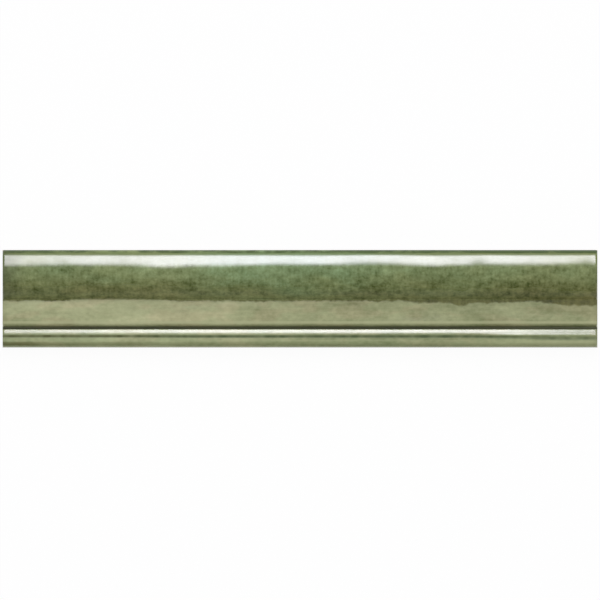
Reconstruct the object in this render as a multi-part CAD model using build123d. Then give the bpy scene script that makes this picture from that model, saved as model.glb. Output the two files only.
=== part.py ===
from build123d import *
import math
import os

# Glazed ceramic chair-rail molding: one fired piece with a constant section.
# It lies on its back. X runs along the length, +Y is the edge that is uppermost on a wall,
# +Z is the glazed face, and the origin is the middle of the back plane. Sizes are in millimetres.

# Overall size
LENGTH = 305.0
HEIGHT = 50.0
PROJECTION = 20.0  # from the back plane to the crest of the ovolo

# Nose and ovolo: the swelling upper half of the face
CREST_DROP = 9.4  # from the top ledge down to the crest line
OVOLO_HEIGHT = 15.9  # from the crest line down to the fascia
NOSE_RADIUS = 7.5  # the tighter roll above the crest
NOSE_DROP = 6.35  # from the top ledge down to the middle of that roll
TOP_ARRIS = 1.0  # where the nose meets the top ledge
CREASE_RADIUS = 0.8  # at the foot of the ovolo, where it meets the fascia

# Fascia: the flat band under the ovolo, which takes up what the others leave of the height
FASCIA_THICKNESS = 10.0
FASCIA_ARRIS = 1.9  # the fascia's lower edge, where it turns into the quirk

# Quirk: the sharp groove above the bead
QUIRK_WIDTH = 1.2
QUIRK_DEPTH = 2.0  # below the lower of the two flat members beside it
QUIRK_RADIUS = 0.45

# Bead: a low round that rolls from the quirk onto the foot and stands a touch proud of it
BEAD_RADIUS = 7.5
BEAD_RISE = 0.1  # from the foot's face to the bead's crown
BEAD_SHOULDER = 2.9  # from the bead's crown line up to the quirk
BEAD_ARRIS = 0.8  # the bead's upper edge, at the quirk
BEAD_CREASE = 0.6  # where the bead dies into the foot

# Foot: the flat strip at the lower edge
FOOT_HEIGHT = 5.46
FOOT_THICKNESS = 9.4
FOOT_RADIUS = 3.0

# Ends
END_ARRIS = 0.8

# Hollow back: a channel behind the ovolo and shallow key grooves, evenly spaced below it
TOP_WALL = 8.0
CHANNEL_WIDTH = 14.0
CHANNEL_DEPTH = 8.0
CHANNEL_ROOF_RADIUS = 3.0
KEY_COUNT = 3
KEY_WIDTH = 3.0
KEY_DEPTH = 0.8

# The bead's circle, and the heights on the face, measured from the middle of the section
TOP_Y = HEIGHT / 2
BOTTOM_Y = -HEIGHT / 2
BEAD_Z = FOOT_THICKNESS + BEAD_RISE - BEAD_RADIUS
BEAD_SKIRT = math.sqrt(BEAD_RADIUS**2 - (BEAD_RADIUS - BEAD_RISE) ** 2)
BEAD_LOW_Y = BOTTOM_Y + FOOT_HEIGHT
BEAD_Y = BEAD_LOW_Y + BEAD_SKIRT
BEAD_HIGH_Y = BEAD_Y + BEAD_SHOULDER
BEAD_HIGH_Z = BEAD_Z + math.sqrt(BEAD_RADIUS**2 - BEAD_SHOULDER**2)
FASCIA_LOW_Y = BEAD_HIGH_Y + QUIRK_WIDTH
CREST_Y = TOP_Y - CREST_DROP
OVOLO_FOOT_Y = CREST_Y - OVOLO_HEIGHT
QUIRK_FLOOR_Z = min(FASCIA_THICKNESS, FOOT_THICKNESS) - QUIRK_DEPTH

# The ovolo is one arc, level at the crest and ending on the fascia.
OVOLO_FALL = PROJECTION - FASCIA_THICKNESS
OVOLO_RADIUS = (OVOLO_HEIGHT**2 + OVOLO_FALL**2) / (2 * OVOLO_FALL)
OVOLO_Z = PROJECTION - OVOLO_RADIUS

# The nose is a smaller arc, tangent inside the ovolo's circle and cut off by the top ledge.
NOSE_Y = TOP_Y - NOSE_DROP
NOSE_Z = OVOLO_Z + math.sqrt((OVOLO_RADIUS - NOSE_RADIUS) ** 2 - (NOSE_Y - CREST_Y) ** 2)
LEDGE_Z = NOSE_Z + math.sqrt(NOSE_RADIUS**2 - NOSE_DROP**2)

CHANNEL_Y = TOP_Y - TOP_WALL - CHANNEL_WIDTH / 2
CHANNEL_LOW_Y = CHANNEL_Y - CHANNEL_WIDTH / 2
KEY_PITCH = (CHANNEL_LOW_Y - BOTTOM_Y) / (KEY_COUNT + 1)


def bearing(middle, point):
    """The direction of a point from an arc's middle, in degrees from +Y towards +Z."""
    return math.degrees(math.atan2(point[1] - middle[1], point[0] - middle[0]))


def section():
    """The solid section of the molding in the plane of Y and Z, before the back is hollowed."""
    top_edge = (TOP_Y, LEDGE_Z)
    ovolo_foot = (OVOLO_FOOT_Y, FASCIA_THICKNESS)
    fascia_edge = (FASCIA_LOW_Y, FASCIA_THICKNESS)
    quirk_high = (FASCIA_LOW_Y, QUIRK_FLOOR_Z)
    quirk_low = (BEAD_HIGH_Y, QUIRK_FLOOR_Z)
    bead_high = (BEAD_HIGH_Y, BEAD_HIGH_Z)
    bead_low = (BEAD_LOW_Y, FOOT_THICKNESS)
    foot_edge = (BOTTOM_Y, FOOT_THICKNESS)
    back_low = (BOTTOM_Y, 0)
    back_high = (TOP_Y, 0)
    softened = {
        top_edge: TOP_ARRIS,
        ovolo_foot: CREASE_RADIUS,
        fascia_edge: FASCIA_ARRIS,
        quirk_high: QUIRK_RADIUS,
        quirk_low: QUIRK_RADIUS,
        bead_high: BEAD_ARRIS,
        bead_low: BEAD_CREASE,
        foot_edge: FOOT_RADIUS,
    }
    nose = (NOSE_Y, NOSE_Z)
    ovolo = (CREST_Y, OVOLO_Z)
    bead = (BEAD_Y, BEAD_Z)
    nose_start = bearing(nose, top_edge)
    nose_end = bearing(ovolo, nose)
    ovolo_end = bearing(ovolo, ovolo_foot)
    bead_start = bearing(bead, bead_high)
    bead_end = bearing(bead, bead_low)
    with BuildSketch(Plane.YZ) as outline:
        with BuildLine():
            CenterArc(nose, NOSE_RADIUS, nose_start, nose_end - nose_start)
            CenterArc(ovolo, OVOLO_RADIUS, nose_end, ovolo_end - nose_end)
            Polyline(ovolo_foot, fascia_edge, quirk_high, quirk_low, bead_high)
            CenterArc(bead, BEAD_RADIUS, bead_start, bead_end - bead_start)
            Polyline(bead_low, foot_edge, back_low, back_high, top_edge)
        make_face()
        for (y, z), radius in softened.items():
            corner = outline.vertices().sort_by_distance((y, z))[0]
            fillet(corner, radius)
    return outline.sketch


def back_hollows():
    """The channel and the key grooves, as solids to cut from the back."""
    with BuildSketch(Plane.YZ) as hollows:
        with Locations((CHANNEL_Y, CHANNEL_DEPTH / 2)):
            channel = Rectangle(CHANNEL_WIDTH, CHANNEL_DEPTH)
        fillet(channel.vertices().group_by(Axis.Y)[-1], CHANNEL_ROOF_RADIUS)
        for place in range(1, KEY_COUNT + 1):
            with Locations((CHANNEL_LOW_Y - place * KEY_PITCH, KEY_DEPTH / 2)):
                Rectangle(KEY_WIDTH, KEY_DEPTH)
    return extrude(hollows.sketch, LENGTH / 2, both=True)


def molding():
    """The finished piece: the section drawn out to its length, ends eased, back hollowed."""
    blank = extrude(section(), LENGTH / 2, both=True)
    end_edges = blank.faces().filter_by(Axis.X).edges()
    face_edges = [edge for edge in end_edges if edge.center().Z > 0]
    eased = fillet(face_edges, END_ARRIS)
    return eased - back_hollows()


os.makedirs("parts", exist_ok=True)
export_step(molding(), "parts/molding.step")
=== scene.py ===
import math
from collections import namedtuple

import bmesh
import bpy
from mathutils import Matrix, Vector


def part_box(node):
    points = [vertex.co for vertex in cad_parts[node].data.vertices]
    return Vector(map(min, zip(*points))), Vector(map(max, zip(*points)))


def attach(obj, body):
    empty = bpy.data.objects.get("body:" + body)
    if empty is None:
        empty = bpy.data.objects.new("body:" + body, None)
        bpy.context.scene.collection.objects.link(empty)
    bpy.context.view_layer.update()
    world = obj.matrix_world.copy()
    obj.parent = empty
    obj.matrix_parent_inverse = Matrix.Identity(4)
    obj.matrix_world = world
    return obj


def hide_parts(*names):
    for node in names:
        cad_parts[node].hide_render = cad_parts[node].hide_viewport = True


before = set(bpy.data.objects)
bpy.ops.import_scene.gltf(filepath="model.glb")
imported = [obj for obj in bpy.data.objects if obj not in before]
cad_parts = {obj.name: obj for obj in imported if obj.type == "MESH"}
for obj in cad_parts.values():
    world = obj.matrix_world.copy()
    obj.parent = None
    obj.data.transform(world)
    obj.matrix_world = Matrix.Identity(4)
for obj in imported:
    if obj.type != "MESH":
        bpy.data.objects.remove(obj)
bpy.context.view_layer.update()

bl_info = {
    "name": "Glazed Chair-Rail Molding",
    "version": (1, 0, 0),
    "blender": (4, 5, 0),
    "location": "View3D > Sidebar > Molding",
    "description": "Models one length of glazed ceramic chair rail and the studio stage it lies on",
    "category": "Add Mesh",
}

# Names of the part in model.glb, of its body, of its finish and of the piece
NODE = "molding"
BODY = "root"
SLOT = "green_glaze"
PIECE = "glazed_molding"

# Blender works in metres and the glaze's pattern in millimetres
MM = 0.001
LOW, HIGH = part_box(NODE)

# How finely the piece is divided: along its length, across each member of the section and at its ends
LENGTHWISE_CUTS = (99, 2)
FACES_ACROSS = {
    "ledge": 12,
    "top_arris": 6,
    "nose": 18,
    "ovolo": 56,
    "crease": 8,
    "fascia": 20,
    "fascia_arris": 8,
    "quirk": 4,
    "bead_arris": 4,
    "bead": 18,
    "bead_crease": 4,
    "foot": 5,
    "foot_arris": 10,
    "foot_edge": 6,
    "channel_round": 5,
}
END_STEPS = 5
MERGE_DISTANCE = 0.01 * MM
SMOOTH_ANGLE = math.radians(40)

# Bearings on the section, from +Y towards +Z
TO_TOP = 0.0
UP = math.pi / 2
TO_FOOT = math.pi
DOWN = -math.pi / 2

# Swelling of the pressed face and ripple of the glaze: reach of the pattern along X, Y and Z
SWELL_REACH = (45 * MM, 17 * MM, 17 * MM)
RIPPLE_REACH = (9 * MM, 5 * MM, 5 * MM)

# Where both start above the groove's floor, and where they are full below the foot's face
SWELL_START = 1 * MM
SWELL_FULL = 0.2 * MM

# How both calm down towards the top ledge and below the flat band: distances and share
LEDGE_CALM = (6 * MM, 2 * MM)
LEDGE_CALM_SHARE = 0.8
LOWER_CALM = 2 * MM
LOWER_CALM_SHARE = 0.75

# Fuller and flatter places along the crest: place and half-width along X, and rise
CREST_MARKS = (
    (-77 * MM, 24 * MM, 0.32 * MM),
    (-12 * MM, 14 * MM, -0.14 * MM),
    (40 * MM, 20 * MM, -0.40 * MM),
    (70 * MM, 12 * MM, 0.18 * MM),
    (97 * MM, 11 * MM, -0.20 * MM),
    (158 * MM, 42 * MM, -0.30 * MM),
)

# How far below the crest line those places are strongest, and how they fade at the flat band
CREST_MARK_DROP = 4 * MM
CREST_MARK_FADE = 2 * MM

# Where the bead's lower side grows fuller towards the right end, and by how much
BEAD_FILL_RUN = (88 * MM, 112 * MM)
BEAD_FILL = 0.14 * MM

# How that fullness fades: about the bead's crown, about its lower edge and below the foot's face
BEAD_FILL_CROWN = (1.0 * MM, -0.6 * MM)
BEAD_FILL_LOW = (-0.3 * MM, 0.6 * MM)
BEAD_FILL_DEPTH = 0.5 * MM

# How the rounding of the ends grows from the back, and how it is held back at the bead's shoulder
END_GROWTH = 2 * MM
END_SHOULDER = (0.9 * MM, 0.3 * MM)
END_SHOULDER_SHARE = 0.6

# A round of the section: its middle and its radius
Round = namedtuple("Round", "y z radius")

# Patterns of the finish: reach of the marks along X, Y and Z in mm, shift, strength and detail
Pattern = namedtuple("Pattern", "reach shift strength detail", defaults=(1.0, 2.0))
PATCHES = Pattern((22.0, 9.0, 9.0), 61.0, 0.75)
MOTTLE = Pattern((4.2, 3.2, 3.2), 7.0, 1.2)
STREAKS = Pattern((1.7, 7.0, 7.0), 11.0, 0.7)
GRAIN = Pattern((1.2, 1.2, 1.2), 17.0, 0.8)
SPECKS = Pattern((2.6, 2.2, 2.2), 47.0)
BLOOM = Pattern((22.0, 8.0, 8.0), 43.0)
DRIFT = Pattern((20.0, 6.0, 6.0), 3.0, 22.0)
BRONZING = Pattern((26.0, 9.0, 9.0), 71.0)
PALE_STREAKS = Pattern((20.0, 1.5, 1.5), 5.0, 0.3)
PALE_CLOUD = Pattern((20.0, 8.0, 8.0), 13.0, 0.85)
PALE_GRAIN = Pattern((2.6, 1.8, 1.8), 19.0, 0.55)
WARMTH = Pattern((16.0, 6.0, 6.0), 53.0)
FRAY = Pattern((2.4, 1.6, 1.6), 67.0, 1.6)
LEDGE_DRIFT = Pattern((30.0, 8.0, 8.0), 73.0, 2.4)
LEDGE_GRAIN = Pattern((5.0, 2.5, 2.5), 79.0, 3.0)
HAZE = Pattern((6.0, 6.0, 6.0), 31.0, 0.08)
PEEL = Pattern((2.4, 1.8, 1.8), 37.0)
GRIT = Pattern((0.6, 0.6, 0.6), 23.0, detail=3.0)
BODY_CLOUD = Pattern((12.0, 6.0, 6.0), 29.0, 0.4)
NOISE_MIDDLE = 0.5
LINE_DETAIL = 1.0

# Below, in mm: lengths are from the piece's middle, heights and depths from the member named
# Rises are start, end and share, bands are start, end, softness and share, and a share left out is 1
# Lines that wander are reach, shift and strength

# How much red, green and blue change where the glaze is thicker or thinner, and where the nose is
# painted bluer under its highlight
THICK_LEAN = (1.1, 1.0, 1.55)
THIN_LEAN = (1.0, 0.92, 1.2)
COOL_LEAN = (0.0, 0.0, 1.0)

# Dark glaze, along the length: cooler and lighter in the middle, rustier at the right end
FLUSH = (-50.0, 35.0, 30.0)
BRIGHT = (-85.0, 15.0, 25.0, 0.1)
RUSTY = (98.0, 128.0)

# Dark glaze, on the nose: below the top and out from the back, how calm its marks are there, and how
# much bluer it is painted under the highlight
NOSE_HEIGHT = (-8.5, -6.5)
NOSE_OUT = (14.0, 16.0)
NOSE_LEDGE = (-2.0, -3.4)
NOSE_CALM = 0.8
COOL_SHARE = 0.2
COOL_FLUSH = 0.3
COOL_ENDS = (105.0, 140.0, -0.35)

# Dark glaze, from light to dark: specks, the depth of the marks above the rim, and the whole
SPECK_STEP = (0.10, 0.22, -0.08)
MARK_DEPTH = (14.0, 4.0, 0.4)
DARK_TONE = -0.035

# Dark glaze, from leaf to fern green over the crest
BLOOM_STEP = (-0.25, 0.3, 0.4)
FERN_SHARE = 0.1
FERN_FLUSH = 0.55
FERN_RUST = -0.2

# Dark glaze, above the rim: olive and bronze lower down, thin, painted light along the crease, and then
# gathered at the crease
OLIVE_RUN = (16.0, -1.0)
BRONZE_STEP = (-0.2, 0.25, 0.4)
BRONZE_SHARE = 0.3
BRONZE_FLUSH = -0.35
BRONZE_RUST = 0.35
BRONZE_RUN = (16.0, 3.0, 0.8)
RIM_THIN = (0.8, 3.2, 0.8, 0.14)
CREASE_PAINTED_LIGHT = (-0.4, 0.8, 0.4, 0.06)
CREASE_GATHER = (0.1, -0.6, 0.8)
RUN_TEXTURE = 0.6

# Rim of the dark glaze: slow and quick wandering, its lifts and dips, the run and the sag
RIM_LINES = ((42.0, 4.0, 1.6), (11.0, 9.0, 1.4), (3.5, 1.0, 0.6))
RIM_LEVEL = -0.8
RIM_STRETCHES = (
    (-118.0, -64.0, 8.0, 1.0),
    (-39.0, -34.0, 3.0, 0.7),
    (64.0, 116.0, 6.0, -0.9),
    (79.5, 85.0, 3.0, -1.4),
)
RIM_SAG = (116.0, 140.0, -2.3)
RIM_FRAY = (-0.8, 0.6)

# Pale glaze: warmer patches, and lighter to the left than to the right
WARMTH_STEP = (-0.08, 0.12)
PALE_STRETCH = (-98.0, -62.0, 15.0, 0.06)
PALE_FALL = (-50.0, 25.0, -0.19)
PALE_TONE = 0.1

# Pale glaze on the bead and the foot: where they start, how warm they are, and their darker ends
LOWER_STEP = (0.6, -0.6)
LOWER_WARMTH = 0.5
LOWER_ENDS = ((-98.0, -128.0, -0.18), (108.0, 148.0, -0.12))

# Darker along the top ledge, and where it is more or less so: place, half-width and share
LEDGE_HEIGHT = (-2.0, -0.8)
LEDGE_OUT = (13.0, 15.5)
LEDGE_SHARE = 0.65
LEDGE_RIGHT = (20.0, 110.0, 0.75)
LEDGE_MARKS = (
    (-97.0, 22.0, -0.55),
    (-67.0, 12.0, 0.40),
    (47.0, 14.0, 0.35),
)

# Foot: darker to the left, thinner glaze to the right, a lighter stripe across its flat, and painted
# light along its rounded lower edge
FOOT_DARK_RUNS = ((-128.0, -142.0, 0.38), (60.0, -40.0, 0.24), (-40.0, -100.0, 0.08))
FOOT_DARK_BAND = (1.1, 2.9, 0.5)
FOOT_PALE_RUNS = ((45.0, 105.0, 0.35), (108.0, 135.0, 0.25))
FOOT_PALE_BAND = (0.5, 3.4, 0.6)
FOOT_EDGE_LIGHT = (-0.2, 0.9, 0.4, 0.25)
FOOT_TOP_PALE = (3.3, 4.0, 0.4, 0.18)
FOOT_TOP_RUN = (-70.0, -20.0)

# Painted shade at both ends, the left one also over the ovolo, and glaze drawn thin over the flat
# band's edge
END_SHADE = (-3.0, -0.5, 0.12)
LEFT_END_SHADE = (14.0, 1.0)
LEFT_END_SHADE_ABOVE = (0.0, 3.0, 0.38)
EDGE_BREAK = (-0.5, 0.8, 0.4, 0.6)

# Where the face starts, just behind the groove's floor, and where the bead starts below the groove
FACE_STEP = (-0.6, -0.2)
BEAD_STEP = (0.5, 0.0)

# Groove: its pool of glaze and painted shade, slightly lower at the ends and weaker to the right
GROOVE_LOW = -0.2
GROOVE_HIGH = -0.25
GROOVE_EDGE = 0.4
GROOVE_ENDS = (100.0, 140.0, 0.08)
GROOVE_FADE = (60.0, 130.0, 0.12)

# Pooled glaze and painted crease shade under the bead: its band, where it lies lower or higher, how
# much there is and how brown
HEM_BAND = (-0.5, 0.95, 0.4)
HEM_SLIPS = ((85.0, 115.0, 0.4), (112.0, 128.0, 0.5), (-50.0, -90.0, -0.15))
HEM_LINES = ((6.0, 3.0, 0.9),)
HEM_SHARE = 0.85
HEM_RIGHT = (85.0, 115.0, -0.3)
HEM_BROWN = (-40.0, -110.0, 0.6)
HEM_BROWN_SHARE = 0.1

# Duller glaze: above the rim down to the crease, on the bead towards its ends, and in the groove
SETTLED_ABOVE = (11.0, 3.0)
SETTLED_CREASE = (-0.2, 0.6)
BEAD_DULL_RUNS = ((104.0, 152.0, 0.22), (-50.0, -120.0, 0.08))
BEAD_DULL = 0.06
GROOVE_DULL = 1.7
POOL_ROUGHNESS = 0.3

# Bare body: the wandering lines where the glaze ends on the edges and the ends, the channel, the rim
BARE_STEP = (0.15, -0.15)
EDGE_LINES = ((9.0, 6.0, 2.4), (2.5, 2.0, 0.7))
EDGE_LEVEL = 2.6
END_LINES = ((7.0, 8.0, 6.0),)
END_LEVEL = 3.6
END_STEP = (-0.3, -0.1)
CHANNEL_MARGIN = 0.3
CHANNEL_EDGE = 0.1
ROOF_STEP = (0.3, 0.1)
HALO_BAND = (-0.5, 0.25, 0.3, 0.7)
GRIT_SHADE = 0.5

# Relief: the glaze over the body, its peel, which is finer on the bead and the foot, and the grit
GLAZE_THICKNESS = 0.10
PEEL_DEPTH = 0.012
PEEL_LOWER = 0.007
GRIT_DEPTH = 0.06

# Stage: the floor's distance below the piece in metres, and the soft light's lower limit
FLOOR_GAP = 0.1 * MM
HORIZON = (0.0, -0.01)


def distance(name, description, default):
    """A length that a user may change."""
    return bpy.props.FloatProperty(
        name=name, description=description, default=default, min=0.0, precision=5,
        unit="LENGTH", subtype="DISTANCE")


def colour(name, description, default):
    """A colour that a user may change."""
    return bpy.props.FloatVectorProperty(
        name=name, description=description, default=default, size=3, min=0.0, max=1.0,
        subtype="COLOR")


def factor(name, description, default):
    """A share from nothing to all that a user may change."""
    return bpy.props.FloatProperty(
        name=name, description=description, default=default, min=0.0, max=1.0, subtype="FACTOR")


class MoldingSizes(bpy.types.PropertyGroup):
    """Sizes of the section, the ends and the hollow back."""

    length: distance("Length", "Whole length of the piece", HIGH.x - LOW.x)
    height: distance("Height", "From the foot edge to the top ledge", HIGH.y - LOW.y)
    projection: distance("Projection", "From the back plane to the ovolo's crest", HIGH.z - LOW.z)
    crest_drop: distance("Crest Drop", "From the top ledge down to the crest line", 9.4 * MM)
    ovolo_height: distance("Ovolo Height", "From the crest line down to the flat band", 15.9 * MM)
    nose_radius: distance("Nose Radius", "The tighter roll above the crest", 7.5 * MM)
    nose_drop: distance("Nose Drop", "From the top ledge down to the middle of the nose", 6.35 * MM)
    top_arris: distance("Top Arris", "Where the nose meets the top ledge", 1.0 * MM)
    crease_radius: distance("Crease Radius", "At the foot of the ovolo", 0.8 * MM)
    fascia_thickness: distance("Fascia Thickness", "From the back to the flat band", 10.0 * MM)
    fascia_arris: distance("Fascia Arris", "The flat band's rounded lower edge", 1.9 * MM)
    quirk_width: distance("Quirk Width", "Width of the groove above the bead", 1.2 * MM)
    quirk_depth: distance("Quirk Depth", "Depth of the groove below the foot's face", 2.0 * MM)
    quirk_radius: distance("Quirk Radius", "Corners of the groove's floor", 0.45 * MM)
    bead_radius: distance("Bead Radius", "Radius of the low round", 7.5 * MM)
    bead_rise: distance("Bead Rise", "From the foot's face to the bead's crown", 0.1 * MM)
    bead_shoulder: distance("Bead Shoulder", "From the bead's crown up to the groove", 2.9 * MM)
    bead_arris: distance("Bead Arris", "The bead's edge at the groove", 0.8 * MM)
    bead_crease: distance("Bead Crease", "Where the bead meets the foot", 0.6 * MM)
    foot_height: distance("Foot Height", "Height of the flat strip under the bead", 5.46 * MM)
    foot_thickness: distance("Foot Thickness", "From the back to the foot's face", 9.4 * MM)
    foot_radius: distance("Foot Radius", "The foot's rounded lower edge", 3.0 * MM)
    end_arris: distance("End Arris", "Round along both ends of the face", 0.8 * MM)
    top_wall: distance("Top Wall", "Wall between the top ledge and the back channel", 8.0 * MM)
    channel_width: distance("Channel Width", "Width of the back channel", 14.0 * MM)
    channel_depth: distance("Channel Depth", "Depth of the back channel", 8.0 * MM)
    channel_round: distance("Channel Round", "Corners of the channel's roof", 3.0 * MM)
    key_width: distance("Key Width", "Width of a key groove", 3.0 * MM)
    key_depth: distance("Key Depth", "Depth of a key groove", 0.8 * MM)
    key_count: bpy.props.IntProperty(
        name="Key Count", description="Key grooves behind the flat band", default=3, min=0)
    swell_depth: distance("Swell Depth", "Slow rise and fall of the pressed face", 0.50 * MM)
    ripple_depth: distance("Ripple Depth", "Short ripple of the thick glaze", 0.05 * MM)


class GlazeLook(bpy.types.PropertyGroup):
    """Colours and gloss of the fired glaze and of the bare body."""

    leaf: colour("Leaf", "Thick glaze over the crest", (0.173, 0.211, 0.072))
    fern: colour("Fern", "Cooler patches of the thick glaze", (0.141, 0.220, 0.085))
    olive: colour("Olive", "Thick glaze where it has run down the ovolo", (0.174, 0.214, 0.068))
    umber: colour("Umber", "Browner glaze low on the ovolo and where it gathers", (0.180, 0.170, 0.050))
    khaki: colour("Khaki", "Thin glaze on the flat band", (0.305, 0.330, 0.163))
    sand: colour("Sand", "Warmer patches on the flat band", (0.328, 0.328, 0.167))
    sage: colour("Sage", "Thin glaze on the bead and the foot", (0.262, 0.304, 0.143))
    # Deep also darkens the top ledge, and with settle it paints the pooled glaze and painted crease
    # shade under the bead
    deep: colour("Deep", "Glaze gathered along the upper and lower edges", (0.045, 0.079, 0.013))
    # Break also paints the lighter stripe across the foot and the painted light along its lower edge
    break_tone: colour("Break", "Glaze drawn thin over the flat band's edge", (0.400, 0.420, 0.225))
    # Settle also darkens the foot, and with deep it paints the pooled glaze and painted crease shade
    # under the bead
    settle: colour("Settle", "Thick glaze that has run onto the flat band", (0.075, 0.077, 0.008))
    # Pool is the groove's pooled glaze with painted shade, and the painted shade along both ends
    pool: colour("Pool", "Glaze pooled in the groove and the creases", (0.030, 0.036, 0.008))
    biscuit: colour("Biscuit", "Bare fired body on the back", (0.600, 0.470, 0.330))
    halo: colour("Halo", "Rim where the glaze runs out on the body", (0.300, 0.220, 0.120))
    gloss: factor("Glaze Roughness", "Roughness of the glaze", 0.14)
    chalk: factor("Body Roughness", "Roughness of the bare body", 0.85)
    index: bpy.props.FloatProperty(
        name="Glaze Index", description="Refractive index of the glaze", default=1.58, min=1.0)


class StageLook(bpy.types.PropertyGroup):
    """Floor, light and camera."""

    floor_size: distance("Floor Size", "Side of the square floor", 8.0)
    floor_shade: colour("Floor Shade", "Colour of the floor", (0.90, 0.90, 0.90))
    floor_glow: factor("Floor Glow", "Share of plain white in the floor's look", 0.95)
    dome: factor("Dome", "Strength of the soft light at the level of the floor", 0.28)
    dome_overhead: factor("Dome Overhead", "How much stronger the soft light is overhead", 0.42)
    dome_lean: factor("Dome Lean", "How much stronger it is on the key light's side", 0.20)
    key_distance: distance("Key Distance", "From the piece to the key light", 3.0)
    key_length: distance("Key Length", "Length of the key light along the piece", 0.42)
    key_shift: distance("Key Shift", "How far the key light stands to the right", 18 * MM)
    key_tint: colour("Key Tint", "Colour of the key light", (0.96, 0.93, 1.0))
    key_radiance: bpy.props.FloatProperty(
        name="Key Radiance", description="Brightness of the key light's face", default=16.2, min=0.0)
    key_fade_high: factor("Key Fade High", "Share of the key's face that fades out overhead", 0.33)
    key_fade_low: factor("Key Fade Low", "Share of the key's face that fades out below", 0.37)
    key_high: bpy.props.FloatProperty(
        name="Key High", description="Upper end of the key light, from overhead",
        default=math.radians(3), subtype="ANGLE")
    key_low: bpy.props.FloatProperty(
        name="Key Low", description="Lower end of the key light, from overhead",
        default=math.radians(67), subtype="ANGLE")
    frame_fill: factor("Frame Fill", "Share of the picture's width that the piece takes up", 0.9913)
    camera_drop: distance("Camera Drop", "How far the picture's middle is below the piece's", 0.63 * MM)
    camera_distance: distance("Camera Distance", "From the back plane to the camera", 1.0)


class Section:
    """The places on the section that the sizes lead to, in the plane of Y and Z."""

    def __init__(self, sizes):
        self.top = sizes.height / 2
        self.bottom = -sizes.height / 2
        self.fascia = sizes.fascia_thickness
        self.foot = sizes.foot_thickness
        self.bead_low = self.bottom + sizes.foot_height
        reach = sizes.bead_radius - sizes.bead_rise
        skirt = math.sqrt(sizes.bead_radius**2 - reach**2)
        self.bead = Round(self.bead_low + skirt, self.foot - reach, sizes.bead_radius)
        self.bead_high = self.bead.y + sizes.bead_shoulder
        self.fascia_low = self.bead_high + sizes.quirk_width
        self.quirk_floor = min(self.fascia, self.foot) - sizes.quirk_depth
        self.crest = self.top - sizes.crest_drop
        self.ovolo_foot = self.crest - sizes.ovolo_height
        fall = sizes.projection - self.fascia
        radius = (sizes.ovolo_height**2 + fall**2) / (2 * fall)
        self.ovolo = Round(self.crest, sizes.projection - radius, radius)
        nose_y = self.top - sizes.nose_drop
        nose_rise = math.sqrt((radius - sizes.nose_radius) ** 2 - (nose_y - self.crest) ** 2)
        self.nose = Round(nose_y, self.ovolo.z + nose_rise, sizes.nose_radius)
        self.channel_high = self.top - sizes.top_wall
        self.channel_low = self.channel_high - sizes.channel_width
        self.key_pitch = (self.channel_low - self.bottom) / (sizes.key_count + 1)


def bearing(middle, point):
    """The direction of a point from a round's middle, from +Y towards +Z."""
    return math.atan2(point.z - middle.z, point.y - middle.y)


def arris_round(body, wall, radius):
    """The convex round between an upright wall and a larger round."""
    y = wall - radius
    z = body.z + math.sqrt((body.radius - radius) ** 2 - (y - body.y) ** 2)
    return Round(y, z, radius)


def crease_round(body, level, radius):
    """The hollow round between a larger round and the flat below it."""
    z = level + radius
    y = body.y - math.sqrt((body.radius + radius) ** 2 - (z - body.z) ** 2)
    return Round(y, z, radius)


class SectionPen:
    """Draws the section by extruding and spinning the long edges that are selected."""

    def __init__(self, y, z):
        self.y = y
        self.z = z

    def run(self, y, z, steps=1):
        """A straight run to a point."""
        step = (0.0, (y - self.y) / steps, (z - self.z) / steps)
        for _ in range(steps):
            bpy.ops.mesh.extrude_edges_move(TRANSFORM_OT_translate={"value": step})
        self.y = y
        self.z = z

    def turn(self, middle, end, steps):
        """An arc about a round's middle, the short way to a bearing."""
        sweep = math.remainder(end - bearing(middle, self), math.tau)
        bpy.ops.mesh.spin(
            steps=steps, angle=-sweep, center=(0.0, middle.y, middle.z), axis=(1.0, 0.0, 0.0))
        self.y = middle.y + middle.radius * math.cos(end)
        self.z = middle.z + middle.radius * math.sin(end)


def draw_face(pen, sizes, section):
    """The top ledge and the moulded face, from the back's upper edge to its lower one."""
    top = arris_round(section.nose, section.top, sizes.top_arris)
    crease = crease_round(section.ovolo, section.fascia, sizes.crease_radius)
    pen.run(section.top, top.z, FACES_ACROSS["ledge"])
    pen.turn(top, bearing(section.nose, top), FACES_ACROSS["top_arris"])
    pen.turn(section.nose, bearing(section.ovolo, section.nose), FACES_ACROSS["nose"])
    pen.turn(section.ovolo, bearing(section.ovolo, crease), FACES_ACROSS["ovolo"])
    pen.turn(crease, DOWN, FACES_ACROSS["crease"])
    edge = sizes.fascia_arris
    arris = Round(section.fascia_low + edge, section.fascia - edge, edge)
    pen.run(arris.y, section.fascia, FACES_ACROSS["fascia"])
    pen.turn(arris, TO_FOOT, FACES_ACROSS["fascia_arris"])
    draw_quirk(pen, sizes, section)
    shoulder = arris_round(section.bead, section.bead_high, sizes.bead_arris)
    hem = crease_round(section.bead, section.foot, sizes.bead_crease)
    pen.run(section.bead_high, shoulder.z)
    pen.turn(shoulder, bearing(section.bead, shoulder), FACES_ACROSS["bead_arris"])
    pen.turn(section.bead, bearing(section.bead, hem), FACES_ACROSS["bead"])
    pen.turn(hem, DOWN, FACES_ACROSS["bead_crease"])
    edge = sizes.foot_radius
    arris = Round(section.bottom + edge, section.foot - edge, edge)
    pen.run(arris.y, section.foot, FACES_ACROSS["foot"])
    pen.turn(arris, TO_FOOT, FACES_ACROSS["foot_arris"])
    pen.run(section.bottom, 0.0, FACES_ACROSS["foot_edge"])


def draw_quirk(pen, sizes, section):
    """The groove between the flat band and the bead."""
    corner = sizes.quirk_radius
    level = section.quirk_floor + corner
    steps = FACES_ACROSS["quirk"]
    pen.run(section.fascia_low, level)
    pen.turn(Round(section.fascia_low - corner, level, corner), DOWN, steps)
    pen.run(section.bead_high + corner, section.quirk_floor)
    pen.turn(Round(section.bead_high + corner, level, corner), TO_FOOT, steps)


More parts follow.
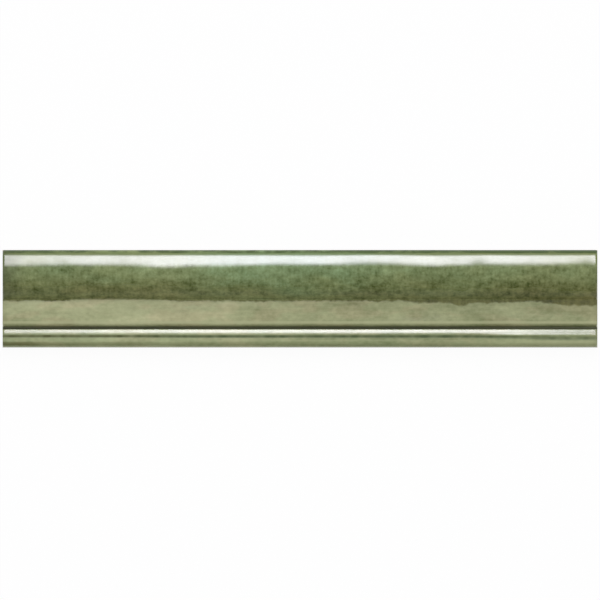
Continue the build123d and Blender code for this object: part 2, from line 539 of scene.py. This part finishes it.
def draw_back(pen, sizes, section):
    """The key grooves and the channel, from the back's lower edge to the channel's upper wall."""
    for place in reversed(range(1, sizes.key_count + 1)):
        middle = section.channel_low - place * section.key_pitch
        near = middle - sizes.key_width / 2
        far = middle + sizes.key_width / 2
        pen.run(near, 0.0)
        pen.run(near, sizes.key_depth)
        pen.run(far, sizes.key_depth)
        pen.run(far, 0.0)
    corner = sizes.channel_round
    level = sizes.channel_depth - corner
    steps = FACES_ACROSS["channel_round"]
    pen.run(section.channel_low, 0.0)
    pen.run(section.channel_low, level)
    pen.turn(Round(section.channel_low + corner, level, corner), UP, steps)
    pen.run(section.channel_high - corner, sizes.channel_depth)
    pen.turn(Round(section.channel_high - corner, level, corner), TO_TOP, steps)
    pen.run(section.channel_high, 0.0)


def select_where(piece, wanted):
    """Selects the vertices whose place passes a test, with the edges and faces they span."""
    bpy.ops.mesh.select_mode(type="VERT")
    bpy.ops.mesh.select_all(action="DESELECT")
    grid = bmesh.from_edit_mesh(piece.data)
    for vertex in grid.verts:
        vertex.select = wanted(vertex.co)
    grid.select_flush(True)
    bmesh.update_edit_mesh(piece.data)


def close_to(value, target):
    """Whether two places are the same for picking out a row of vertices."""
    return abs(value - target) < MERGE_DISTANCE


def soft_step(value, start, end):
    """Nothing before the start, one after the end, and a smooth rise between them."""
    share = min(max((value - start) / (end - start), 0.0), 1.0)
    return share * share * (3 - 2 * share)


def make_only(piece):
    """Makes one object the only selected one and the active one."""
    bpy.ops.object.select_all(action="DESELECT")
    piece.select_set(True)
    bpy.context.view_layer.objects.active = piece


def draw_section(sizes, section):
    """The long shell: a strip of the back, extruded all the way round the section."""
    bpy.ops.object.select_all(action="DESELECT")
    bpy.ops.mesh.primitive_plane_add(
        size=1.0, location=(0.0, section.top - sizes.top_wall / 2, 0.0))
    piece = bpy.context.object
    piece.name = PIECE
    piece.data.name = PIECE
    piece.scale = (sizes.length, sizes.top_wall, 1.0)
    bpy.ops.object.transform_apply(location=True, rotation=True, scale=True)
    bpy.ops.object.mode_set(mode="EDIT")
    bpy.ops.mesh.select_mode(type="EDGE")
    bpy.ops.mesh.select_all(action="DESELECT")
    grid = bmesh.from_edit_mesh(piece.data)
    for edge in grid.edges:
        start, end = edge.verts
        edge.select = close_to(start.co.y, end.co.y)
    grid.select_flush_mode()
    bmesh.update_edit_mesh(piece.data)
    for cuts in LENGTHWISE_CUTS:
        bpy.ops.mesh.subdivide(number_cuts=cuts)
    select_where(piece, lambda place: close_to(place.y, section.top))
    bpy.ops.mesh.select_mode(type="EDGE")
    pen = SectionPen(section.top, 0.0)
    draw_face(pen, sizes, section)
    draw_back(pen, sizes, section)
    bpy.ops.mesh.select_all(action="SELECT")
    bpy.ops.mesh.remove_doubles(threshold=MERGE_DISTANCE)
    bpy.ops.mesh.normals_make_consistent(inside=False)
    bpy.ops.object.mode_set(mode="OBJECT")
    return piece


def displace(piece, name, weigh, strength, cloud=None, ruler=None):
    """Moves the surface along its normals, by a weight for each place and perhaps a pattern."""
    group = piece.vertex_groups.new(name=name)
    for vertex in piece.data.vertices:
        group.add([vertex.index], weigh(vertex.co), "REPLACE")
    make_only(piece)
    push = piece.modifiers.new(name, "DISPLACE")
    push.vertex_group = name
    push.strength = strength
    push.mid_level = 0.0
    if cloud:
        push.mid_level = NOISE_MIDDLE
        push.texture = cloud
        push.texture_coords = "OBJECT"
        push.texture_coords_object = ruler
    bpy.ops.object.modifier_apply(modifier=name)
    piece.vertex_groups.remove(piece.vertex_groups[name])


def swell(piece, section, name, depth, reach):
    """Lets the face rise and fall by a cloud pattern that is drawn out along the length."""
    bpy.ops.object.empty_add(location=(0.0, 0.0, 0.0))
    ruler = bpy.context.object
    ruler.scale = reach
    bpy.context.view_layer.update()
    cloud = bpy.data.textures.new(name, "CLOUDS")
    cloud.noise_scale = 1.0
    cloud.noise_depth = 1

    def weigh(place):
        face = soft_step(place.z, section.quirk_floor + SWELL_START, section.foot - SWELL_FULL)
        ledge = soft_step(place.y, *[section.top - drop for drop in LEDGE_CALM])
        lower = soft_step(place.y, section.fascia_low + LOWER_CALM, section.fascia_low)
        return face * (1 - LEDGE_CALM_SHARE * ledge) * (1 - LOWER_CALM_SHARE * lower)

    displace(piece, name, weigh, depth, cloud, ruler)
    bpy.data.objects.remove(ruler)
    bpy.data.textures.remove(cloud)


def mark_crest(piece, section):
    """Makes the ovolo a little fuller or flatter in places along its crest."""
    peak = section.crest - CREST_MARK_DROP
    for middle, half_width, rise in CREST_MARKS:

        def weigh(place):
            along = soft_step(abs(place.x - middle), half_width, 0.0)
            up = soft_step(place.y, section.ovolo_foot, peak) * soft_step(place.y, section.top, peak)
            face = soft_step(place.z, section.fascia, section.fascia + CREST_MARK_FADE)
            return along * up * face

        displace(piece, "crest_mark", weigh, rise)


def fill_bead(piece, section):
    """Makes the bead's lower side a little fuller towards the right end."""

    def weigh(place):
        along = soft_step(place.x, *BEAD_FILL_RUN)
        down = soft_step(place.y, *[section.bead.y + shift for shift in BEAD_FILL_CROWN])
        up = soft_step(place.y, *[section.bead_low + shift for shift in BEAD_FILL_LOW])
        face = soft_step(place.z, section.quirk_floor, section.foot - BEAD_FILL_DEPTH)
        return along * down * up * face

    displace(piece, "bead_fill", weigh, BEAD_FILL)


def ease_ends(piece, sizes, section):
    """Rounds the face over along both ends and closes the ends."""
    half = sizes.length / 2
    radius = sizes.end_arris
    bpy.ops.object.mode_set(mode="EDIT")
    for side in (-1, 1):
        for step in range(END_STEPS):
            back = radius * (1 - math.sin(step * math.pi / 2 / END_STEPS))
            bpy.ops.mesh.select_all(action="SELECT")
            bpy.ops.mesh.bisect(
                plane_co=(side * (half - back), 0.0, 0.0), plane_no=(1.0, 0.0, 0.0))
    bpy.ops.object.mode_set(mode="OBJECT")

    def weigh(place):
        short = min(max(abs(place.x) - half + radius, 0.0), radius)
        round_off = 1 - math.sqrt(1 - (short / radius) ** 2)
        face = soft_step(place.z, 0.0, END_GROWTH)
        shoulder = soft_step(abs(place.y - section.bead_high), *END_SHOULDER)
        return round_off * face * (1 - END_SHOULDER_SHARE * shoulder)

    displace(piece, "end_ease", weigh, -radius)
    bpy.ops.object.mode_set(mode="EDIT")
    bpy.ops.mesh.select_mode(type="EDGE")
    bpy.ops.mesh.select_all(action="DESELECT")
    bpy.ops.mesh.select_non_manifold(
        extend=False, use_wire=False, use_boundary=True, use_multi_face=False,
        use_non_contiguous=False, use_verts=False)
    bpy.ops.mesh.mark_sharp()
    bpy.ops.mesh.edge_face_add()
    bpy.ops.mesh.select_all(action="SELECT")
    bpy.ops.mesh.normals_make_consistent(inside=False)
    bpy.ops.object.mode_set(mode="OBJECT")
    make_only(piece)
    bpy.ops.object.shade_smooth_by_angle(angle=SMOOTH_ANGLE, keep_sharp_edges=True)


class Wire:
    """A shader value that takes part in Python expressions."""

    def __init__(self, bench, socket):
        self.bench = bench
        self.socket = socket

    def __add__(self, other):
        return self.bench.maths("ADD", self, other)

    def __radd__(self, other):
        return self.bench.maths("ADD", other, self)

    def __sub__(self, other):
        return self.bench.maths("SUBTRACT", self, other)

    def __rsub__(self, other):
        return self.bench.maths("SUBTRACT", other, self)

    def __mul__(self, other):
        return self.bench.maths("MULTIPLY", self, other)

    def __rmul__(self, other):
        return self.bench.maths("MULTIPLY", other, self)

    def __abs__(self):
        return self.bench.maths("ABSOLUTE", self, 0.0)


class Bench:
    """One node tree, where a finish is set out and wired."""

    def __init__(self, tree):
        self.tree = tree
        tree.nodes.clear()

    def node(self, kind, settings=None, inputs=None, output=0):
        """Any node: its settings are set first, then its sockets are given values or links."""
        node = self.tree.nodes.new(kind)
        for name, value in (settings or {}).items():
            setattr(node, name, value)
        for key, value in (inputs or {}).items():
            if isinstance(value, Wire):
                self.tree.links.new(value.socket, node.inputs[key])
            else:
                node.inputs[key].default_value = value
        return Wire(self, node.outputs[output]) if node.outputs else None

    def maths(self, operation, first, second):
        return self.node("ShaderNodeMath", {"operation": operation}, {0: first, 1: second})

    def axes(self, place, names):
        """The named parts of a place."""
        return [self.node("ShaderNodeSeparateXYZ", {}, {0: place}, output=name) for name in names]

    def rise(self, value, start, end, share=1.0):
        """Nothing before the start, the share after the end, and a smooth change between them."""
        return self.node(
            "ShaderNodeMapRange", {"interpolation_type": "SMOOTHSTEP"},
            {"Value": value, "From Min": start, "From Max": end, "To Max": share})

    def rises(self, value, ramps, base=0.0):
        """Several rises along one value, added to a base."""
        return sum((self.rise(value, *ramp) for ramp in ramps), base)

    def band(self, value, start, end, edge, share=1.0):
        """The share between the start and the end, with soft edges, and nothing outside them."""
        begun = self.rise(value, start - edge, start + edge)
        return begun * self.rise(value, end + edge, end - edge, share)

    def blend(self, share, first, second):
        """One colour going over into another."""
        return self.node(
            "ShaderNodeMix", {"data_type": "RGBA"}, {0: share, 6: first, 7: second}, output=2)

    def scale(self, tint, share):
        """A colour or place made larger or smaller."""
        return self.node(
            "ShaderNodeVectorMath", {"operation": "SCALE"}, {0: tint, "Scale": share})

    def shade(self, tint, share, lean):
        """A colour made lighter or darker by a share, each channel as much as its lean says."""
        return self.node(
            "ShaderNodeVectorMath", {"operation": "MULTIPLY_ADD"},
            {0: self.scale(lean, share), 1: tint, 2: tint})

    def noise(self, place, pattern):
        """A soft pattern about nought, whose marks have their own reach along X, Y and Z."""
        shift = (pattern.shift,) * 3
        scale = [1 / reach for reach in pattern.reach]
        drawn = self.node(
            "ShaderNodeMapping", {}, {"Vector": place, "Location": shift, "Scale": scale})
        cloud = self.node(
            "ShaderNodeTexNoise", {}, {"Vector": drawn, "Scale": 1.0, "Detail": pattern.detail})
        return (cloud - NOISE_MIDDLE) * pattern.strength

    def noises(self, place, patterns, base):
        """Several patterns, added to a base."""
        return sum((self.noise(place, pattern) for pattern in patterns), base)

    def wander(self, value, lines, level):
        """A soft line about a level, which changes along one value only."""
        for reach, shift, strength in lines:
            cloud = self.node(
                "ShaderNodeTexNoise", {"noise_dimensions": "1D"},
                {"W": value * (1 / reach) + shift, "Scale": 1.0, "Detail": LINE_DETAIL})
            level = (cloud - NOISE_MIDDLE) * strength + level
        return level


def opaque(tone):
    """A colour property as a colour socket takes it."""
    return tuple(tone) + (1.0,)


def on_face(bench, out, section):
    """One on the face and nothing behind the groove's floor."""
    return bench.rise(out - section.quirk_floor / MM, *FACE_STEP)


def below_groove(bench, height, section):
    """One on the bead and the foot, and nothing above them."""
    return bench.rise(height - section.bead_high / MM, *BEAD_STEP)


def thick_glaze(bench, place, look, section, above):
    """The dark glaze over the ovolo: green at the crest, olive where it has run down."""
    along, height, out = bench.axes(place, "XYZ")
    from_top = height - section.top / MM
    from_crease = height - section.ovolo_foot / MM
    flush = bench.band(along, *FLUSH)
    rusty = bench.rise(along, *RUSTY)
    nose = bench.rise(from_top, *NOSE_HEIGHT) * bench.rise(out, *NOSE_OUT)

    # Lighter and darker marks
    specks = bench.rise(bench.noise(place, SPECKS), *SPECK_STEP)
    marks = bench.noises(place, (PATCHES, MOTTLE, STREAKS, GRAIN), specks)
    depth = (1.0 - nose * NOSE_CALM) * (bench.rise(above, *MARK_DEPTH) + 1.0)
    tone = marks * depth + bench.band(along, *BRIGHT) + DARK_TONE

    # Leaf and fern green over the crest, olive and bronze lower down
    bloom = bench.rise(bench.noise(place, BLOOM), *BLOOM_STEP)
    ferny = bloom + flush * FERN_FLUSH + rusty * FERN_RUST + FERN_SHARE
    green = bench.blend(ferny, opaque(look.leaf), opaque(look.fern))
    ran = bench.rise(above + bench.noise(place, DRIFT), *OLIVE_RUN)
    green = bench.blend(ran, green, opaque(look.olive))
    bronze = bench.rise(bench.noise(place, BRONZING), *BRONZE_STEP) + BRONZE_SHARE
    bronze = bronze + flush * BRONZE_FLUSH + rusty * BRONZE_RUST
    green = bench.blend(bronze * bench.rise(above, *BRONZE_RUN), green, opaque(look.umber))

    # Thin above the rim, painted light along the crease, a painted highlight tint on the nose, and
    # gathered below the crease
    thin = bench.band(above, *RIM_THIN) + bench.band(from_crease, *CREASE_PAINTED_LIGHT)
    glaze = bench.shade(green, tone + thin, THICK_LEAN)
    # Painted highlight tint: bluer on the nose where the key light's highlight lies, less so towards
    # the ends
    highlight_cooling = flush * COOL_FLUSH + bench.rise(abs(along), *COOL_ENDS) + COOL_SHARE
    glaze = bench.shade(glaze, nose * bench.rise(from_top, *NOSE_LEDGE) * highlight_cooling, COOL_LEAN)
    run = bench.shade(look.settle, tone * RUN_TEXTURE, THICK_LEAN)
    return bench.blend(bench.rise(from_crease, *CREASE_GATHER), glaze, run)


def thin_glaze(bench, place, look, section):
    """The pale glaze on the flat members, with soft streaks along the length."""
    along, height = bench.axes(place, "XY")
    lower = bench.rise(height - section.bead_high / MM, *LOWER_STEP)
    warmth = bench.rise(bench.noise(place, WARMTH), *WARMTH_STEP)
    band_tint = bench.blend(warmth, opaque(look.khaki), opaque(look.sand))
    lower_tint = bench.blend(warmth * LOWER_WARMTH, opaque(look.sage), opaque(look.sand))
    pale = bench.blend(lower, band_tint, lower_tint)
    level = bench.band(along, *PALE_STRETCH) + bench.rise(along, *PALE_FALL) + PALE_TONE
    level = level + bench.rises(along, LOWER_ENDS) * lower
    tone = bench.noises(place, (PALE_STREAKS, PALE_CLOUD, PALE_GRAIN), level)
    return bench.shade(pale, tone, THIN_LEAN)


def glaze_rim(bench, along, section):
    """The height along the length at which the dark glaze ends, with a run and a sag in it."""
    line = bench.wander(along, RIM_LINES, section.ovolo_foot / MM + RIM_LEVEL)
    for stretch in RIM_STRETCHES:
        line = line + bench.band(along, *stretch)
    return line + bench.rise(along, *RIM_SAG)


def tint_edges(bench, place, look, sizes, section, above, glaze):
    """The glaze, darker or paler along the ledge, the foot and the flat band's edge, with painted light
    on the foot and painted shade at the ends.
    """
    along, height, out = bench.axes(place, "XYZ")
    ledge_darkening = bench.rise(along, *LEDGE_RIGHT) + LEDGE_SHARE
    for middle, half_width, share in LEDGE_MARKS:
        ledge_darkening = ledge_darkening + bench.rise(abs(along - middle), half_width, 0.0, share)
    ledge_darkening = bench.noises(place, (LEDGE_DRIFT, LEDGE_GRAIN), ledge_darkening)
    ledge = bench.rise(height - section.top / MM, *LEDGE_HEIGHT) * bench.rise(out, *LEDGE_OUT)
    glaze = bench.blend(ledge * ledge_darkening, glaze, opaque(look.deep))

    from_bottom = height - section.bottom / MM
    darker = bench.rises(along, FOOT_DARK_RUNS) * bench.band(from_bottom, *FOOT_DARK_BAND)
    glaze = bench.blend(darker, glaze, opaque(look.settle))
    thinned_and_lit = bench.rises(along, FOOT_PALE_RUNS) * bench.band(from_bottom, *FOOT_PALE_BAND)
    # Painted light along the foot's rounded lower edge
    thinned_and_lit = thinned_and_lit + bench.band(from_bottom, *FOOT_EDGE_LIGHT)
    thinned_and_lit = thinned_and_lit + bench.band(from_bottom, *FOOT_TOP_PALE) * bench.rise(along, *FOOT_TOP_RUN)
    glaze = bench.blend(thinned_and_lit, glaze, opaque(look.break_tone))

    # Painted shade at both ends where the face rounds over, wider over the ovolo at the left end
    half = sizes.length / 2 / MM
    painted_end_shade = bench.rise(along + half, *LEFT_END_SHADE) * bench.rise(above, *LEFT_END_SHADE_ABOVE)
    painted_end_shade = painted_end_shade + bench.rise(abs(along) - half, *END_SHADE)
    glaze = bench.blend(painted_end_shade, glaze, opaque(look.pool))

    edge = (section.fascia_low + sizes.fascia_arris) / MM
    broken = bench.band(height - edge, *EDGE_BREAK) * on_face(bench, out, section)
    return bench.blend(broken, glaze, opaque(look.break_tone))


def pool_and_shade_hollows(bench, place, look, section, above, glaze):
    """The glaze, pooled under the bead and in the groove with painted shade in both, and how dull it is
    from place to place.
    """
    along, height, out = bench.axes(place, "XYZ")
    face = on_face(bench, out, section)
    # Pooled glaze and painted crease shade where the bead meets the foot
    from_hem = height + bench.rises(along, HEM_SLIPS) - section.bead_low / MM
    hem = bench.band(from_hem, *HEM_BAND) * face
    pooling_and_shade = bench.wander(along, HEM_LINES, HEM_SHARE) + bench.rise(along, *HEM_RIGHT)
    browned = bench.rise(along, *HEM_BROWN) + HEM_BROWN_SHARE
    puddle_and_shade = bench.blend(browned, opaque(look.deep), opaque(look.settle))
    glaze = bench.blend(hem * pooling_and_shade, glaze, puddle_and_shade)

    low = section.bead_high / MM + GROOVE_LOW
    high = section.fascia_low / MM + GROOVE_HIGH
    groove = bench.band(height + bench.rise(abs(along), *GROOVE_ENDS), low, high, GROOVE_EDGE) * face
    groove = groove * (1.0 - bench.rise(along, *GROOVE_FADE))
    # Pooled glaze and painted shade in the groove
    glaze = bench.blend(groove, glaze, opaque(look.pool))

    from_crease = height - section.ovolo_foot / MM
    settled = bench.rise(above, *SETTLED_ABOVE) * bench.rise(from_crease, *SETTLED_CREASE)
    dulled = below_groove(bench, height, section) * bench.rises(along, BEAD_DULL_RUNS, BEAD_DULL)
    return glaze, groove * GROOVE_DULL + hem + settled + dulled


def glazed_face(bench, place, look, sizes, section):
    """The colour of the glaze all over the face, and how dull it is from place to place."""
    along, height = bench.axes(place, "XY")
    above = height - glaze_rim(bench, along, section)
    dark = thick_glaze(bench, place, look, section, above)
    pale = thin_glaze(bench, place, look, section)
    covered = bench.rise(above + bench.noise(place, FRAY), *RIM_FRAY)
    glaze = bench.blend(covered, pale, dark)
    glaze = tint_edges(bench, place, look, sizes, section, above, glaze)
    return pool_and_shade_hollows(bench, place, look, section, above, glaze)


def bare_body(bench, place, look, sizes, section):
    """Where the body is bare, the rim where the glaze runs out on it, its grit and its colour."""
    along, height, out = bench.axes(place, "XYZ")
    end = bench.rise(abs(along) - sizes.length / 2 / MM, *END_STEP)
    edge_line = bench.wander(along, EDGE_LINES, EDGE_LEVEL)
    end_line = bench.wander(height, END_LINES, END_LEVEL)
    clear = out - (edge_line + end * (end_line - edge_line))
    low = section.channel_low / MM - CHANNEL_MARGIN
    high = section.channel_high / MM + CHANNEL_MARGIN
    inside = bench.band(height, low, high, CHANNEL_EDGE)
    inside = inside * bench.rise(out - sizes.channel_depth / MM, *ROOF_STEP)
    bare = bench.maths("MAXIMUM", bench.rise(clear, *BARE_STEP), inside)
    grit = bench.noise(place, GRIT)
    body = bench.scale(look.biscuit, grit * GRIT_SHADE + bench.noise(place, BODY_CLOUD) + 1.0)
    halo = bench.band(clear, *HALO_BAND) * (1.0 - inside)
    return bare, halo, grit, body


def fire_glaze(look, sizes, section):
    """The fired finish: dark and pale glaze on the face, bare body on the back."""
    finish = bpy.data.materials.new(SLOT)
    finish.use_nodes = True
    bench = Bench(finish.node_tree)
    place = bench.scale(bench.node("ShaderNodeTexCoord", output="Object"), 1 / MM)
    (height,) = bench.axes(place, "Y")
    glaze, pooled = glazed_face(bench, place, look, sizes, section)
    bare, halo, grit, body = bare_body(bench, place, look, sizes, section)
    tint = bench.blend(halo, bench.blend(bare, glaze, body), opaque(look.halo))
    gloss = bench.noise(place, HAZE) + pooled * POOL_ROUGHNESS + look.gloss
    rough = gloss * (1.0 - bare) + bare * look.chalk
    peel_depth = PEEL_DEPTH - below_groove(bench, height, section) * PEEL_LOWER
    glaze_relief = bench.noise(place, PEEL) * peel_depth + GLAZE_THICKNESS
    relief = glaze_relief * (1.0 - bare) + bare * grit * GRIT_DEPTH
    normal = bench.node("ShaderNodeBump", {}, {"Strength": 1.0, "Distance": MM, "Height": relief})
    surface = bench.node(
        "ShaderNodeBsdfPrincipled", {},
        {"Base Color": tint, "Roughness": rough, "IOR": look.index, "Normal": normal})
    bench.node("ShaderNodeOutputMaterial", {}, {"Surface": surface})
    return finish


def lay_floor(look):
    """A pale floor that reads as white and keeps the piece's shadow."""
    bpy.ops.mesh.primitive_plane_add(size=look.floor_size, location=(0.0, 0.0, LOW.z - FLOOR_GAP))
    floor = bpy.context.object
    floor.name = "floor"
    paint = bpy.data.materials.new("floor_white")
    paint.use_nodes = True
    bench = Bench(paint.node_tree)
    rays = ("Is Camera Ray", "Is Glossy Ray", "Is Transmission Ray")
    straight, mirrored, through = [bench.node("ShaderNodeLightPath", output=ray) for ray in rays]
    seen = bench.maths("MINIMUM", straight + mirrored + through, 1.0)
    matt = bench.node("ShaderNodeBsdfDiffuse", {}, {"Color": opaque(look.floor_shade)})
    glow = bench.node("ShaderNodeEmission", {}, {"Strength": 1.0})
    surface = bench.node("ShaderNodeMixShader", {}, {0: seen * look.floor_glow, 1: matt, 2: glow})
    bench.node("ShaderNodeOutputMaterial", {}, {"Surface": surface})
    floor.data.materials.append(paint)


def light_dome(look):
    """Soft light from all round, stronger overhead and on the key light's side."""
    world = bpy.data.worlds.new("studio")
    world.use_nodes = True
    bench = Bench(world.node_tree)
    away, up = bench.axes(bench.node("ShaderNodeTexCoord", output="Generated"), "YZ")
    overhead = bench.maths("MAXIMUM", up, 0.0) * look.dome_overhead
    strength = look.dome + overhead + away * look.dome_lean
    below = bench.rise(up, *HORIZON)
    strength = strength * (1.0 - below) + below
    surface = bench.node(
        "ShaderNodeBackground", {}, {"Color": (1.0, 1.0, 1.0, 1.0), "Strength": strength})
    bench.node("ShaderNodeOutputWorld", {}, {"Surface": surface})
    bpy.context.scene.world = world


def hang_key(look):
    """A long soft light beyond the top ledge, which the nose and the bead mirror as bright lines."""
    middle = (look.key_low + look.key_high) / 2
    spread = (look.key_low - look.key_high) / 2
    away = look.key_distance * math.sin(middle)
    up = look.key_distance * math.cos(middle)
    bpy.ops.object.light_add(
        type="AREA", location=(look.key_shift, away, up), rotation=(-middle, 0.0, 0.0))
    key = bpy.context.object
    key.name = "key_light"
    key.visible_camera = False
    key.data.shape = "RECTANGLE"
    key.data.size = look.key_length
    key.data.size_y = 2 * look.key_distance * math.tan(spread)
    key.data.energy = look.key_radiance * math.pi * key.data.size * key.data.size_y
    key.data.use_nodes = True
    bench = Bench(key.data.node_tree)
    (down,) = bench.axes(bench.node("ShaderNodeNewGeometry", output="Parametric"), "Y")
    fade = bench.rise(down, 0.0, look.key_fade_high) * bench.rise(down, 1.0, 1.0 - look.key_fade_low)
    glow = bench.node(
        "ShaderNodeEmission", {}, {"Color": opaque(look.key_tint), "Strength": fade})
    bench.node("ShaderNodeOutputLight", {}, {"Surface": glow})


def set_camera(look, sizes):
    """A camera that looks straight onto the face, with the top ledge uppermost."""
    place = (0.0, -look.camera_drop, look.camera_distance)
    bpy.ops.object.camera_add(location=place, rotation=(0.0, 0.0, 0.0))
    camera = bpy.context.object
    camera.data.type = "ORTHO"
    camera.data.ortho_scale = sizes.length / look.frame_fill
    bpy.context.scene.camera = camera


class MOLDING_OT_model(bpy.types.Operator):
    """Model the molding and give it its fired finish"""

    bl_idname = "molding.model"
    bl_label = "Model Molding"

    def execute(self, context):
        sizes = context.scene.molding_sizes
        section = Section(sizes)
        piece = draw_section(sizes, section)
        mark_crest(piece, section)
        fill_bead(piece, section)
        swell(piece, section, "press_swell", sizes.swell_depth, SWELL_REACH)
        swell(piece, section, "glaze_ripple", sizes.ripple_depth, RIPPLE_REACH)
        ease_ends(piece, sizes, section)
        piece.data.materials.append(fire_glaze(context.scene.glaze_look, sizes, section))
        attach(piece, BODY)
        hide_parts(NODE)
        return {"FINISHED"}


class MOLDING_OT_stage(bpy.types.Operator):
    """Set the floor, the light and the camera"""

    bl_idname = "molding.stage"
    bl_label = "Set Stage"

    def execute(self, context):
        look = context.scene.stage_look
        bpy.ops.object.select_all(action="DESELECT")
        lay_floor(look)
        light_dome(look)
        hang_key(look)
        set_camera(look, context.scene.molding_sizes)
        context.scene.view_settings.view_transform = "Standard"
        return {"FINISHED"}


class MOLDING_PT_panel(bpy.types.Panel):
    """The sizes, the looks and the buttons, in the sidebar"""

    bl_label = "Chair-Rail Molding"
    bl_space_type = "VIEW_3D"
    bl_region_type = "UI"
    bl_category = "Molding"

    def draw(self, context):
        layout = self.layout
        scene = context.scene
        for group in (scene.molding_sizes, scene.glaze_look, scene.stage_look):
            box = layout.box()
            for name in group.__annotations__:
                box.prop(group, name)
        layout.operator(MOLDING_OT_model.bl_idname)
        layout.operator(MOLDING_OT_stage.bl_idname)


CLASSES = (
    MoldingSizes,
    GlazeLook,
    StageLook,
    MOLDING_OT_model,
    MOLDING_OT_stage,
    MOLDING_PT_panel,
)


def register():
    for each in CLASSES:
        bpy.utils.register_class(each)
    bpy.types.Scene.molding_sizes = bpy.props.PointerProperty(type=MoldingSizes)
    bpy.types.Scene.glaze_look = bpy.props.PointerProperty(type=GlazeLook)
    bpy.types.Scene.stage_look = bpy.props.PointerProperty(type=StageLook)


def unregister():
    del bpy.types.Scene.stage_look
    del bpy.types.Scene.glaze_look
    del bpy.types.Scene.molding_sizes
    for each in reversed(CLASSES):
        bpy.utils.unregister_class(each)


def main():
    register()
    bpy.ops.molding.model()
    bpy.ops.molding.stage()


if __name__ == "__main__":
    main()
